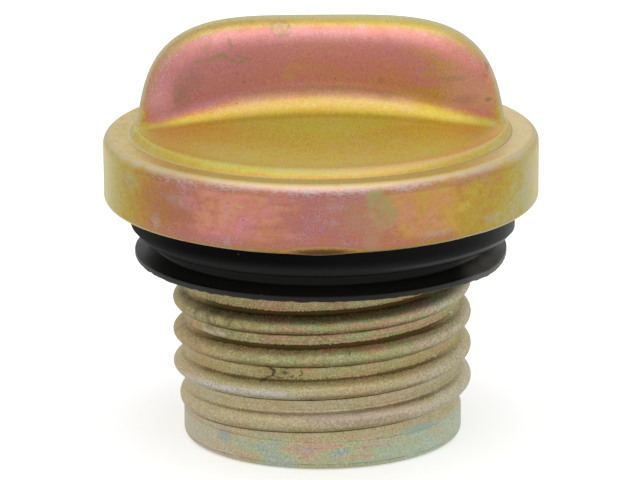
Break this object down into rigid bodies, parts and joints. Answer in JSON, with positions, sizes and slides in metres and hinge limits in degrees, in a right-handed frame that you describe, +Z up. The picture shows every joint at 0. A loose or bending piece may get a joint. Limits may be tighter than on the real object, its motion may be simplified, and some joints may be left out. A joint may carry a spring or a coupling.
{
  "type": "threaded cap",
  "caption": "Threaded filler cap: a pressed metal cover with a hollow wing grip on top, a two-lipped rubber seal under it and a drawn sleeve with a coarse rolled outside thread.",
  "frame": {"origin": "centre of the sleeve's flat closed bottom, on the thread's axis", "axes": "+Z up along the thread's axis towards the grip; the wing grip runs along X; -Y faces the front, over one crimp"},
  "size_m": [0.0522, 0.0522, 0.0516],
  "materials": {
    "cover_plating": "yellow iridescent plating, satin",
    "seal_rubber": "moulded black, matt",
    "sleeve_plating": "dull iridescent plating, fine sandy grain"
  },
  "bodies": {
    "root": {"cover": "cover_plating", "seal": "seal_rubber", "threaded_sleeve": "sleeve_plating"}
  },
  "joints": []
}
